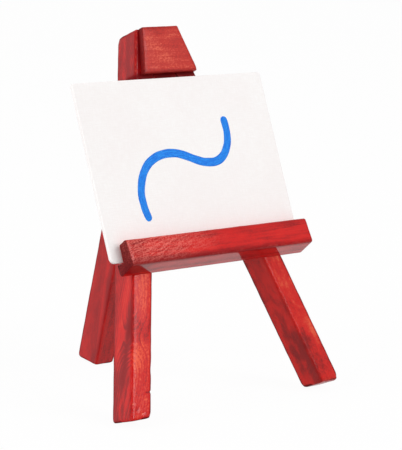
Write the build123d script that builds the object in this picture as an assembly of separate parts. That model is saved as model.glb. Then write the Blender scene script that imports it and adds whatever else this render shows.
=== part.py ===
from build123d import *
import os
from math import cos, radians, sin, tan

# A small wooden display easel with a canvas board standing in its tray.
# Millimetres and degrees. The table is Z = 0, the front of the easel faces -Y, and +X is to the right.
# The front of the easel is drawn flat, with X to the right, Y up its slope and Z out of its front,
# and is then leaned back. Heights up the slope start where the front faces' plane meets the table.

# Stance
frame_lean = 23.35          # the front legs lean back from upright
leg_splay = 16.43           # each front leg leans outwards
rear_leg_lean = 13.24       # the rear leg leans forwards from upright

# Legs
leg_width = 9.8
leg_depth = 13.3
left_foot_bevel = 5.5       # how far the left foot's cut is off square
right_foot_bevel = 0.0
rear_leg_width = 9.8
rear_leg_depth = 13.3
rear_foot_rise = 6.0        # slope of the rear foot's cut above the table, towards the back
edge_round = 0.6            # sanded edges of every bar

# Head block, over the tops of the front legs
head_height = 20.0
head_thickness = 2.9
head_top_width = 19.0
head_bottom_width = 29.0
head_top_shift = 0.55       # the block sits a little to the right
head_bottom_shift = 1.3
head_round = 0.45

# Tray
groove_floor = 67.0         # slope height of the floor that the board stands on
groove_width = 2.7          # from the front legs' faces to the lip
lip_height = 7.4            # back of the lip above the groove's floor
lip_rise = 1.3              # the lip's front edge stands this much higher than its back
lip_top_depth = 5.0         # front to back, across the top of the lip
tray_front_height = 10.9
tray_front_slant = 1.4      # the front face's lower edge stands this much further out
tray_back_height = 5.6
housing_depth = 1.0         # the tray is let into the legs by this much
tray_left = 46.35
tray_right = 51.9
tray_edge_round = 1.1
lip_edge_round = 0.7
tray_end_chamfer = 0.3

# Board that stands in the groove
board_width = 102.0
board_height = 75.0
board_shift = -0.3
core_thickness = 1.0
canvas_thickness = 0.25
paper_thickness = 0.12
canvas_turnover = 9.0       # width of the canvas that is folded over the back
paper_margin = 4.0          # canvas left showing round the backing paper
board_corner = 1.2
inner_corner = 0.3          # least corner radius inside the board's layers
seat_gap = 0.3              # between the loose board and the wood behind and below it
head_gap = 2.1              # between the board's top edge and the head block

# Hinge between the cross piece and the rear leg
hinge_drop = 32.6           # from the front legs' top ends down to the hinge axis
hinge_width = 8.0
leaf_height = 8.0
leaf_thickness = 0.5
leaf_corner = 1.0
knuckle_radius = 1.0
knuckle_gap = 0.3
pin_radius = 0.5
pin_running_gap = 0.05
pin_held_gap = 0.01
pin_chamfer = 0.12
fold_gap = 0.3              # between the folded rear leg and the front legs
stop_gap = 0.3              # between the rear leg's bevelled head and the front legs it stops on
screw_head_radius = 0.95
screw_shank_radius = 0.45
screw_length = 4.0
screw_point = 0.9
screw_gap = 0.02
screw_slot_width = 0.25
screw_slot_depth = 0.2
screw_spacing = 4.6
screw_drop = 4.6            # from the hinge axis down to the screws

# Cross piece that fills the gap between the front legs and carries the hinge
hinge_block_rise = 22.0     # from the hinge axis up to the block's top
hinge_block_drop = 12.3     # from the hinge axis down to its foot
hinge_block_inset = 0.6     # its front face behind the front legs' front faces
hinge_block_round = 0.35

# Worked out from the sizes above
slope = radians(frame_lean)
splay = radians(leg_splay)
rear_slope = radians(rear_leg_lean)
opening = slope + rear_slope
leg_across = leg_width / cos(splay)
frame_top = groove_floor + seat_gap + board_height + head_gap + head_height
hinge_height = frame_top - hinge_drop
hinge_depth = -leg_depth - fold_gap + knuckle_radius
knuckle_length = (hinge_width - 2 * knuckle_gap) / 3

frame_plane = Plane(origin=(0, 0, 0), x_dir=(1, 0, 0), z_dir=(0, -cos(slope), sin(slope)))
hinge_point = frame_plane.from_local_coords((0, hinge_height, hinge_depth))
rear_leg_plane = Plane(origin=hinge_point, x_dir=(1, 0, 0), z_dir=(0, -cos(rear_slope), -sin(rear_slope)))
hinge_plane = Plane(origin=hinge_point, x_dir=(1, 0, 0), z_dir=frame_plane.z_dir)


def side_profile(points, left, right):
    """Bar whose section is drawn up the slope and out of the front, from left to right."""
    section = make_face(Polyline(*points, close=True))
    return extrude(Plane.YZ.offset(left) * section, right - left)


def front_profile(points, back, front):
    """Piece whose outline is drawn on the front of the easel, from back to front."""
    return extrude(Plane.XY.offset(back) * make_face(Polyline(*points, close=True)), front - back)


def edges_along(piece, direction):
    """Edges of a piece that run in one direction."""
    return piece.edges().filter_by(direction)


def edge_at(bar, corner):
    """The bar's long edge at one corner of its section."""
    return edges_along(bar, Axis.X).sort_by_distance((0, *corner))[0]


def round_rise(end_slope, face_slope, radius):
    """How much higher a rounded edge rests than the sharp one, between two faces' slopes."""
    half = (face_slope - end_slope) / 2
    return radius * sin(end_slope + half) / sin(half) - radius


def front_leg(side, foot_bevel):
    """One splayed bar, its ends cut level, its foot's rear edge on the table."""
    bevel = radians(foot_bevel)
    rise = round_rise(slope - bevel, slope + radians(90), edge_round)
    heel = (leg_depth * sin(slope) - rise) / cos(slope)
    toe = heel - leg_depth * tan(bevel)
    spread = (frame_top - toe) * tan(splay)
    bar = front_profile(
        [
            (0, frame_top),
            (side * leg_across, frame_top),
            (side * (leg_across + spread), toe),
            (side * spread, toe),
        ],
        -leg_depth,
        0,
    )
    reach = leg_across + spread
    ends = side_profile([(toe, 0), (heel, -leg_depth), (frame_top, -leg_depth), (frame_top, 0)], -reach, reach)
    leg = bar & ends
    return fillet(leg.edges(), edge_round)


def tray_section():
    """Outline of the tray, from the foot of its back, round the lip, to the groove's floor."""
    lip_back_top = groove_floor + lip_height
    lip_front_top = lip_back_top + lip_rise
    front_top_depth = groove_width + lip_top_depth
    front_foot = lip_front_top - tray_front_height
    return [
        (groove_floor - tray_back_height, -housing_depth),
        (front_foot, front_top_depth + tray_front_slant),
        (lip_front_top, front_top_depth),
        (lip_back_top, groove_width),
        (groove_floor, groove_width),
        (groove_floor, -housing_depth),
    ]


def tray_bar():
    """One bar with a raised lip in front of the groove, its long edges rounded by hand."""
    bar = side_profile(tray_section(), -tray_left, tray_right)
    back_foot, front_foot, lip_front, lip_back = tray_section()[:4]
    bar = fillet([edge_at(bar, corner) for corner in (back_foot, front_foot, lip_front)], tray_edge_round)
    bar = fillet(edge_at(bar, lip_back), lip_edge_round)
    ends = bar.faces().filter_by(Axis.X)
    return chamfer([edge for end in ends for edge in end.edges()], tray_end_chamfer)


def head_plate():
    """Thin trapezoid glued over the front legs' tops."""
    foot = frame_top - head_height
    plate = front_profile(
        [
            (head_top_shift - head_top_width / 2, frame_top),
            (head_top_shift + head_top_width / 2, frame_top),
            (head_bottom_shift + head_bottom_width / 2, foot),
            (head_bottom_shift - head_bottom_width / 2, foot),
        ],
        0,
        head_thickness,
    )
    return fillet(plate.edges(), head_round)


def cross_piece():
    """Wedge between the front legs' inner faces, hollowed a little behind for the hinge's knuckles."""
    high = hinge_height + hinge_block_rise
    low = hinge_height - hinge_block_drop
    high_half = (frame_top - high) * tan(splay)
    low_half = (frame_top - low) * tan(splay)
    back = hinge_depth + knuckle_radius
    block = front_profile(
        [(-high_half, high), (high_half, high), (low_half, low), (-low_half, low)],
        back,
        -hinge_block_inset,
    )
    block = fillet(edges_along(block, Axis.X), hinge_block_round)
    hollow = Cylinder(knuckle_radius + knuckle_gap, hinge_width + 2 * knuckle_gap)
    return block - Pos(0, hinge_height, hinge_depth) * Rot(0, 90, 0) * hollow


def screw_places(side):
    """Centres of a leaf's screws on its open face, with the screws pointing to the wood."""
    open_face = side * (knuckle_radius - leaf_thickness)
    turn = 0 if side > 0 else 180
    return [
        Location((end * screw_spacing / 2, -screw_drop, open_face), (turn, 0, 0)) for end in (-1, 1)
    ]


def screw_body(gap):
    """Countersunk screw from its head's top at Z = 0 down its shank along +Z, swollen by a gap."""
    head = Cone(screw_head_radius + gap, screw_shank_radius + gap, leaf_thickness,
                align=(Align.CENTER, Align.CENTER, Align.MIN))
    shank_length = screw_length - leaf_thickness - screw_point
    shank = Pos(0, 0, leaf_thickness) * Cylinder(
        screw_shank_radius + gap, shank_length, align=(Align.CENTER, Align.CENTER, Align.MIN)
    )
    point = Pos(0, 0, leaf_thickness + shank_length) * Cone(
        screw_shank_radius + gap, gap, screw_point, align=(Align.CENTER, Align.CENTER, Align.MIN)
    )
    return head + shank + point


def slotted_screw():
    """The screw with the slot across its head."""
    slot = Box(2 * screw_head_radius, screw_slot_width, screw_slot_depth,
               align=(Align.CENTER, Align.CENTER, Align.MIN))
    return screw_body(0) - slot


def knuckle_spans(own):
    """X ranges of a leaf's own knuckles: the two outer ones, or the middle one."""
    half = hinge_width / 2
    outer = [(-half, -half + knuckle_length), (half - knuckle_length, half)]
    middle = [(-knuckle_length / 2, knuckle_length / 2)]
    return (outer, middle) if own == "outer" else (middle, outer)


def hinge_leaf(side, own, bore_gap):
    """One leaf: a thin plate tangent to its rolled knuckles, below the hinge axis along X."""
    plate = Pos(0, -leaf_height / 2, side * (knuckle_radius - leaf_thickness / 2)) * Box(
        hinge_width, leaf_height, leaf_thickness
    )
    low_corners = edges_along(plate, Axis.Z).group_by(Axis.Y)[0]
    leaf = fillet(low_corners, leaf_corner)
    mine, others = knuckle_spans(own)
    relief = knuckle_radius + knuckle_gap
    for start, end in others:
        width = end - start + 2 * knuckle_gap
        leaf -= Pos((start + end) / 2, 0, 0) * Box(width, 2 * relief, 2 * relief)
    for start, end in mine:
        leaf += Pos((start + end) / 2, 0, 0) * Rot(0, 90, 0) * Cylinder(knuckle_radius, end - start)
    leaf -= Rot(0, 90, 0) * Cylinder(pin_radius + bore_gap, 2 * hinge_width)
    for place in screw_places(side):
        leaf -= place * screw_body(screw_gap)
    return leaf


def third_leg():
    """Rear leg about the hinge axis: its head is bevelled to bear on the front legs' backs."""
    front = -knuckle_radius
    back = front - rear_leg_depth
    behind = knuckle_radius - fold_gap + stop_gap
    head_front = (-behind - cos(opening) * front) / sin(opening)
    head_back = (-behind - cos(opening) * back) / sin(opening)
    foot_slope = radians(rear_foot_rise)
    rise = round_rise(foot_slope, radians(90) + rear_slope, edge_round)
    foot_front = -(hinge_point.Z + rise + knuckle_radius * sin(rear_slope)) / cos(rear_slope)
    foot_back = foot_front - rear_leg_depth * tan(rear_slope - foot_slope)
    bar = side_profile(
        [(head_front, front), (head_back, back), (foot_back, back), (foot_front, front)],
        -rear_leg_width / 2,
        rear_leg_width / 2,
    )
    leg = fillet(bar.edges(), edge_round)
    leg -= Rot(0, 90, 0) * Cylinder(knuckle_radius + knuckle_gap, 2 * rear_leg_width)
    for place in screw_places(-1):
        leg -= place * screw_body(screw_gap)
    return leg


def board_blank(inset, back, front):
    """Rectangle of the board, drawn in from its edges, between two depths."""
    low = groove_floor + seat_gap
    middle = Pos(board_shift, low + board_height / 2)
    outline = middle * RectangleRounded(
        board_width - 2 * inset, board_height - 2 * inset, max(board_corner - inset, inner_corner)
    )
    return extrude(Plane.XY.offset(back) * outline, front - back)


# Front frame, drawn flat
tray_blank = side_profile(tray_section(), -tray_left, tray_right)
tray = tray_bar()
left_leg = front_leg(-1, left_foot_bevel) - tray_blank
right_leg = front_leg(1, right_foot_bevel) - tray_blank
head_block = head_plate()
hinge_block = cross_piece()

# Board, from its back to its front
paper_back = seat_gap
flap_back = paper_back + paper_thickness
core_back = flap_back + canvas_thickness
core_front = core_back + core_thickness
board_front = core_front + canvas_thickness
board_core = board_blank(canvas_thickness, core_back, core_front)
canvas_cover = (
    board_blank(0, flap_back, board_front)
    - board_core
    - board_blank(canvas_turnover, flap_back, core_back)
)
backing_paper = board_blank(paper_margin, paper_back, flap_back) + board_blank(
    canvas_turnover, flap_back, core_back
)

# Hinge, drawn about its axis
frame_leaf = hinge_leaf(1, "outer", pin_held_gap)
leg_leaf = hinge_leaf(-1, "middle", pin_running_gap)
pin_ends = Rot(0, 90, 0) * Cylinder(pin_radius, hinge_width)
hinge_pin = chamfer(pin_ends.edges().filter_by(GeomType.CIRCLE), pin_chamfer)
frame_screws = [place * slotted_screw() for place in screw_places(1)]
leg_screws = [place * slotted_screw() for place in screw_places(-1)]
hinge_on_frame = Pos(0, hinge_height, hinge_depth)
for place in screw_places(1):
    hinge_block -= hinge_on_frame * place * screw_body(screw_gap)

flat_pieces = {
    "left_front_leg": left_leg,
    "right_front_leg": right_leg,
    "head_block": head_block,
    "hinge_block": hinge_block,
    "tray": tray,
    "board_core": board_core,
    "canvas_cover": canvas_cover,
    "backing_paper": backing_paper,
}
frame_hinge_pieces = {
    "hinge_frame_leaf": frame_leaf,
    "hinge_pin": hinge_pin,
    "frame_leaf_screws": Compound(children=frame_screws),
}
rear_pieces = {
    "rear_leg": third_leg(),
    "hinge_leg_leaf": leg_leaf,
    "leg_leaf_screws": Compound(children=leg_screws),
}

placed = {}
for plane, pieces in (
    (frame_plane, flat_pieces),
    (hinge_plane, frame_hinge_pieces),
    (rear_leg_plane, rear_pieces),
):
    for name, piece in pieces.items():
        placed[name] = piece.moved(plane.location)

# The origin is on the table, under the middle of the whole easel.
boxes = [piece.bounding_box() for piece in placed.values()]
middle_x = (min(box.min.X for box in boxes) + max(box.max.X for box in boxes)) / 2
middle_y = (min(box.min.Y for box in boxes) + max(box.max.Y for box in boxes)) / 2
to_origin = Location((-middle_x, -middle_y, 0))

os.makedirs("parts", exist_ok=True)
for name, piece in placed.items():
    export_step(piece.moved(to_origin), f"parts/{name}.step")

print("origin moved by", round(-middle_x, 3), round(-middle_y, 3))
axis_point = hinge_point + Vector(-middle_x, -middle_y, 0)
print("hinge axis Y, Z:", round(axis_point.Y, 3), round(axis_point.Z, 3))
print("lowest points:", [(name, round(piece.bounding_box().min.Z, 3)) for name, piece in placed.items()])
print("folding angle:", round(frame_lean + rear_leg_lean, 3))
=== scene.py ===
import math
import bpy
import numpy as np
from mathutils import Matrix, Vector


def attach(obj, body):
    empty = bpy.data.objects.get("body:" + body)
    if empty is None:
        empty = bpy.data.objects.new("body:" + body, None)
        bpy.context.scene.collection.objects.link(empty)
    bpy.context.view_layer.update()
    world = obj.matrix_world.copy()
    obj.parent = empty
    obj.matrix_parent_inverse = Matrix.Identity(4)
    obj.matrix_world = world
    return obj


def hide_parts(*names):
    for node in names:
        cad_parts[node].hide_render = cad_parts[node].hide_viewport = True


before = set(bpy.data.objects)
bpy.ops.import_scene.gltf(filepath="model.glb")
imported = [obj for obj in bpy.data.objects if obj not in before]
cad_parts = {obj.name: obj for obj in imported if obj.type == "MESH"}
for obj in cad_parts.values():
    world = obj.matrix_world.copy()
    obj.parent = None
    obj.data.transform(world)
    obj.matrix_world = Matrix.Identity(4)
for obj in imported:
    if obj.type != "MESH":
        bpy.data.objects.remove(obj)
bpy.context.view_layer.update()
mm = 0.001

# How the easel stands: angles in degrees, places in millimetres
stance = dict(lean=23.35, splay=16.43, rearLean=13.24, foot=(0.172, -53.628, 0.0),
              hinge=(0.172, 10.178, 116.012))


def leaned(u, v, n, angle, base):
    # A slope's frame to the room: u stays sideways, v climbs from the base, n comes out of the front.
    s, c = math.sin(math.radians(angle)), math.cos(math.radians(angle))
    return np.stack([u, v * s - n * c, v * c + n * s], -1) + base


def toRoom(u, v, n):
    return leaned(u, v, n, stance["lean"], stance["foot"])


def rearToRoom(u, v, n):
    return leaned(u, v, n, -stance["rearLean"], stance["hinge"])


def screenColour(red, green, blue):
    # A colour as seen on screen, 0 to 255, to the linear values that shaders take.
    s = np.array([red, green, blue]) / 255
    linear = np.where(s <= 0.04045, s / 12.92, ((s + 0.055) / 1.055) ** 2.4)
    return (*[float(x) for x in linear], 1.0)


# Camera: angles in degrees, lengths in millimetres, focus and frame height in pixels of the photograph
camera = dict(azimuth=-40.87, elevation=10.6, roll=2.19, distance=874.9, target=(-26.45, -53.628, 80.25),
              focus=2210.9, frameHeight=450, sensor=36)


def placeCamera():
    # The camera looks along its back vector at the target, then rolls a little.
    a, e, r = (math.radians(camera[k]) for k in ("azimuth", "elevation", "roll"))
    back = np.array([math.sin(a) * math.cos(e), -math.cos(a) * math.cos(e), math.sin(e)])
    right = np.array([math.cos(a), math.sin(a), 0.0])
    up = np.cross(back, right)
    rolledRight = math.cos(r) * right + math.sin(r) * up
    rolledUp = math.cos(r) * up - math.sin(r) * right
    place = (np.array(camera["target"]) + camera["distance"] * back) * mm
    data = bpy.data.cameras.new("photoCamera")
    data.sensor_width = camera["sensor"]
    data.lens = camera["focus"] * camera["sensor"] / camera["frameHeight"]
    data.clip_start, data.clip_end = 0.01, 50
    eye = bpy.data.objects.new("photoCamera", data)
    bpy.context.collection.objects.link(eye)
    turn = Matrix([axis.tolist() for axis in (rolledRight, rolledUp, back)]).transposed().to_4x4()
    eye.matrix_world = Matrix.Translation(place.tolist()) @ turn
    bpy.context.scene.camera = eye


placeCamera()
print("camera placed")


# Shader helpers. A new node goes into the tree that its inputs come from
def feed(socket, value):
    # An input filled with a value, or wired from another node's socket. Three numbers for a colour are
    # the colour as seen on screen.
    if isinstance(value, bpy.types.NodeSocket):
        socket.id_data.links.new(value, socket)
    elif socket.type == "RGBA" and len(value) == 3:
        socket.default_value = screenColour(*value)
    else:
        socket.default_value = value


def node(kind, inputs=None, tree=None, **settings):
    # A new node with its settings and its inputs.
    wires = [value for value in (inputs or {}).values() if isinstance(value, bpy.types.NodeSocket)]
    made = (tree or wires[0].id_data).nodes.new(kind)
    for key, value in settings.items():
        setattr(made, key, value)
    for key, value in (inputs or {}).items():
        feed(made.inputs[key], value)
    return made


def calc(operation, *values, clamp=False):
    # One Math node.
    return node("ShaderNodeMath", dict(enumerate(values)), operation=operation, use_clamp=clamp).outputs[0]


def plus(a, b, clamp=False):
    return calc("ADD", a, b, clamp=clamp)


def times(a, b, clamp=False):
    return calc("MULTIPLY", a, b, clamp=clamp)


def oneMinus(value):
    return calc("SUBTRACT", 1.0, value)


def vectorCalc(operation, *vectors):
    # One Vector Math node.
    return node("ShaderNodeVectorMath", dict(enumerate(vectors)), operation=operation).outputs[0]


def scaled(vector, factor):
    # A vector times a number.
    return node("ShaderNodeVectorMath", dict(Vector=vector, Scale=factor), operation="SCALE").outputs[0]


def lengthOf(vector):
    # How long a vector is.
    return node("ShaderNodeVectorMath", dict(Vector=vector), operation="LENGTH").outputs["Value"]


def part(vector, axis):
    # One of a vector's three numbers.
    return node("ShaderNodeSeparateXYZ", dict(Vector=vector)).outputs[axis]


def blendColour(amount, a, b):
    # Colour a turned into colour b by an amount.
    return node("ShaderNodeMix", {0: amount, 6: a, 7: b}, data_type="RGBA", clamp_factor=True).outputs[2]


def noise(point, scale, detail=2.0, rough=0.5, warp=0.0, output="Fac"):
    # Smooth noise about 0.5. A triple as scale draws it out by its own amount along each axis.
    if isinstance(scale, tuple):
        point, scale = vectorCalc("MULTIPLY", point, scale), 1.0
    inputs = dict(Vector=point, Scale=scale, Detail=detail, Roughness=rough, Distortion=warp)
    return node("ShaderNodeTexNoise", inputs).outputs[output]


def slide(value, low, high, outLow=0.0, outHigh=1.0):
    # A value's range from low to high, eased to a new range.
    inputs = {"Value": value, "From Min": low, "From Max": high, "To Min": outLow, "To Max": outHigh}
    return node("ShaderNodeMapRange", inputs, interpolation_type="SMOOTHSTEP").outputs[0]


def meshField(tree, name, output="Fac"):
    # A field that the mesh carries from point to point.
    return node("ShaderNodeAttribute", tree=tree, attribute_name=name).outputs[output]


def solidPoint(tree):
    # The place on a piece, in millimetres.
    return scaled(node("ShaderNodeTexCoord", tree=tree).outputs["Object"], 1 / mm)


origin, half3, black = (0.0, 0.0, 0.0), (0.5, 0.5, 0.5), (0.0, 0.0, 0.0, 1.0)
socketKinds = {1: "NodeSocketFloat", 3: "NodeSocketVector", 4: "NodeSocketColor"}


def makeGroup(name, recipe, outputs, **inputs):
    # A node group. Each socket is a number, a place or a colour, as its value is, and the recipe makes the
    # outputs from the inputs.
    group = bpy.data.node_groups.new(name, "ShaderNodeTree")
    for way, sockets in (("INPUT", inputs), ("OUTPUT", outputs)):
        for label, value in sockets.items():
            kind = socketKinds[np.size(value)]
            group.interface.new_socket(label, in_out=way, socket_type=kind).default_value = value
    given, result = group.nodes.new("NodeGroupInput").outputs, group.nodes.new("NodeGroupOutput").inputs
    for label, value in recipe(given).items():
        feed(result[label], value)
    return group


# How the wood's noises are drawn out: turns in a millimetre across, across and along the bar
drawnOut = dict(bend=(0.12, 0.12, 0.03), fibre=(2.1, 2.1, 0.07), thread=(6.5, 6.5, 0.35),
                fleck=(1.4, 1.4, 1.1), soak=(1.6, 1.6, 0.2), streak=(1.5, 1.5, 0.2))


def stainedWood(given):
    # Solid wood under red stain. The rings are shells round a heart line, which lies askew to the bar,
    # so each face is cut from them in its own way. A knot swells them outwards by a bell curve of the
    # distance from it. Fibres and flecks are noise drawn out along the bar, and weaker on a calm face.
    # All of them add to one tone, which runs from the dark stain through the red to the bright.
    point = given["point"]
    bend = vectorCalc("SUBTRACT", noise(point, drawnOut["bend"], 2.0, output="Color"), half3)
    heart = vectorCalc("ADD", given["heart"], scaled(bend, given["ringWarp"]))
    reach = lengthOf(vectorCalc("MULTIPLY", heart, (1.0, 1.0, 0.0)))
    off = lengthOf(vectorCalc("SUBTRACT", point, given["knot"]))
    off = calc("POWER", calc("DIVIDE", off, given["knotSize"]), 2.0)
    swell = calc("EXPONENT", times(off, -1.0))
    reach = plus(reach, times(swell, given["knotPull"]))
    turn = calc("FRACT", calc("DIVIDE", reach, given["ringPitch"]))
    ring = times(calc("POWER", slide(turn, 0.0, 0.82), 1.6), slide(turn, 0.86, 1.0, 1.0, 0.0))
    follow = dict(X=times(reach, 2.6), Y=times(part(heart, "Z"), 0.05))
    line = noise(node("ShaderNodeCombineXYZ", follow).outputs[0], 1.0, 3.0, 0.62)
    fibre = noise(point, drawnOut["fibre"], 4.0, 0.6)
    thread = noise(point, drawnOut["thread"], 2.0, 0.5)
    fleck = noise(point, drawnOut["fleck"], 2.0, 0.6)
    drawn = node("ShaderNodeCombineXYZ", dict(X=1.0, Y=1.0, Z=given["patchDraw"])).outputs[0]
    size = calc("DIVIDE", 1.0, given["patchSize"])
    patch = noise(vectorCalc("MULTIPLY", point, drawn), size, 4.0, 0.58, 0.6)
    rings = times(given["rings"], plus(1.0, times(swell, 0.8)))
    busy = oneMinus(times(given["calm"], 0.8))
    fibres, flecks = (times(given[label], busy) for label in ("fibres", "flecks"))
    # The stain field adds real stain spots and painted shade to the tone.
    tone = plus(given["tone"], given["stain"])
    for value, share, middle, gain in ((ring, rings, 0.35, -0.7), (line, rings, 0.5, 2.2),
                                       (fibre, fibres, 0.5, 2.4), (thread, fibres, 0.5, 0.8),
                                       (patch, given["patches"], 0.5, 2.8), (fleck, flecks, 0.5, 2.6)):
        swing = times(calc("SUBTRACT", value, middle), gain)
        tone = plus(tone, times(swing, share))
    lower = slide(tone, 0.0, 0.5)
    colour = blendColour(lower, given["dark"], given["red"])
    colour = blendColour(slide(tone, 0.48, 1.05), colour, given["bright"])
    pool = times(times(given["edge"], given["edgeStain"]), slide(fibre, 0.3, 0.7, 0.5, 1.0))
    relief = plus(times(fibre, 0.6), times(thread, 0.25))
    height = plus(relief, times(slide(thread, 0.30, 0.42), 0.3))
    return dict(colour=blendColour(pool, colour, given["dark"]), height=height, glossLoss=oneMinus(lower))


def dustAndSheenStreaks(given):
    # Rubbed, dusty varnish with a painted sheen of reflected light: streaks and specks that show near one
    # place and fade away from it.
    near = vectorCalc("DIVIDE", vectorCalc("SUBTRACT", given["point"], given["centre"]), given["reach"])
    fade = slide(lengthOf(near), 0.25, 1.0, 1.0, 0.0)
    turned = node("ShaderNodeVectorRotate", dict(Vector=given["point"], Rotation=given["slant"]),
                  rotation_type="EULER_XYZ").outputs[0]
    streak = noise(turned, drawnOut["streak"], 3.0, 0.6)
    speck = noise(vectorCalc("MULTIPLY", turned, (1.0, 1.0, 0.6)), given["grit"], 2.0, 0.6)
    mask = plus(times(slide(streak, 0.42, 0.68), 0.55), times(slide(speck, 0.42, 0.66), 0.6))
    return dict(mask=times(times(mask, fade), given["amount"], clamp=True))


def wornEdgeAndHighlight(given):
    # Nicks and rubbed spots along the edges, with a pale painted highlight: the edge field raised by noise
    # and cut off sharply.
    scale = calc("DIVIDE", 1.0, given["pitch"])
    spot = noise(vectorCalc("MULTIPLY", given["point"], (1.0, 1.0, 0.45)), scale, 3.0, 0.65)
    broad = noise(given["point"], 0.09, 1.0)
    mask = times(slide(spot, 0.46, 0.66), slide(broad, 0.35, 0.6, 0.25, 1.0))
    mask = times(mask, slide(given["edge"], 0.45, 0.95))
    return dict(mask=times(mask, given["amount"], clamp=True))


def canvasWeave(given):
    # Plain weave: threads along x and y pass over and under each other, each a rounded ridge.
    drift = vectorCalc("SUBTRACT", noise(given["point"], 0.35, 2.0, output="Color"), half3)
    bent = vectorCalc("ADD", given["point"], scaled(drift, given["unevenness"]))
    grid = scaled(bent, calc("DIVIDE", math.pi, given["threadPitch"]))
    waves = [calc("SINE", part(grid, axis)) for axis in "XY"]
    ridges = [calc("POWER", calc("ABSOLUTE", wave), 0.7) for wave in waves]
    over = times(times(*waves), 0.45)
    warp = times(ridges[0], plus(0.55, over))
    weft = times(ridges[1], calc("SUBTRACT", 0.55, over))
    slub = plus(*[times(noise(bent, drawn), 0.5) for drawn in ((0.25, 2.2, 1.0), (2.2, 0.25, 1.0))])
    return dict(height=plus(calc("MAXIMUM", warp, weft), times(slub, 0.6)), slub=slub)


woodGroup = makeGroup(
    "stainedWood", stainedWood, dict(colour=black, height=0.0, glossLoss=0.0), point=origin, heart=origin,
    ringPitch=2.2, ringWarp=1.2, rings=0.3, fibres=0.3, patches=0.4, flecks=0.2, patchSize=9.0,
    patchDraw=0.42, tone=0.5, stain=0.0, knot=origin, knotSize=5.0, knotPull=0.0, edge=0.0, edgeStain=0.3,
    calm=0.0, dark=black, red=black, bright=black)
dustSheenGroup = makeGroup(
    "dustAndSheenStreaks", dustAndSheenStreaks, dict(mask=0.0), point=origin, centre=origin, reach=(1.0, 1.0, 1.0),
    slant=origin, amount=1.0, grit=1.6)
edgeWearHighlightGroup = makeGroup("wornEdgeAndHighlight", wornEdgeAndHighlight, dict(mask=0.0), point=origin, edge=0.0, amount=0.5, pitch=1.6)
weaveGroup = makeGroup(
    "canvasWeave", canvasWeave, dict(height=0.0, slub=0.0), point=origin, threadPitch=0.45, unevenness=0.25)


def placeGroup(group, **values):
    # A group placed in a material with its own values.
    return node("ShaderNodeGroup", values, node_tree=group).outputs


def newMaterial(name, values):
    # A material with one Principled shader, its constant values set on its own sockets.
    material = bpy.data.materials.new(name)
    material.use_nodes = True
    tree = material.node_tree
    shader = tree.nodes["Principled BSDF"]
    for key, value in values.items():
        shader.inputs[key].default_value = value
    return material, tree, shader


def dress(shader, colour, height, strength, distance, rough=None):
    # The shader's colour, fine relief on its normal, distance in millimetres, and roughness where it varies.
    relief = {"Height": height, "Strength": strength, "Distance": distance * mm}
    feed(shader.inputs["Base Color"], colour)
    feed(shader.inputs["Normal"], node("ShaderNodeBump", relief).outputs[0])
    if rough:
        feed(shader.inputs["Roughness"], rough)


# The pale wear colour also paints highlight and sheen, and the end grain colour also paints the darkest
# shadow.
woodFinish = dict(
    dark=(144, 10, 15), red=(208, 20, 17), bright=(240, 90, 58),
    paleWearAndSheen=(240, 124, 112), bare=(244, 128, 84), endGrainAndShadow=(92, 14, 18),
    roughness=0.5, dryRougher=0.16, dustSheenRougher=0.2, specular=0.05, varnishIor=1.4,
    cutDull=0.8, handledDull=0.5, relief=(0.35, 0.12),
)


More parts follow.
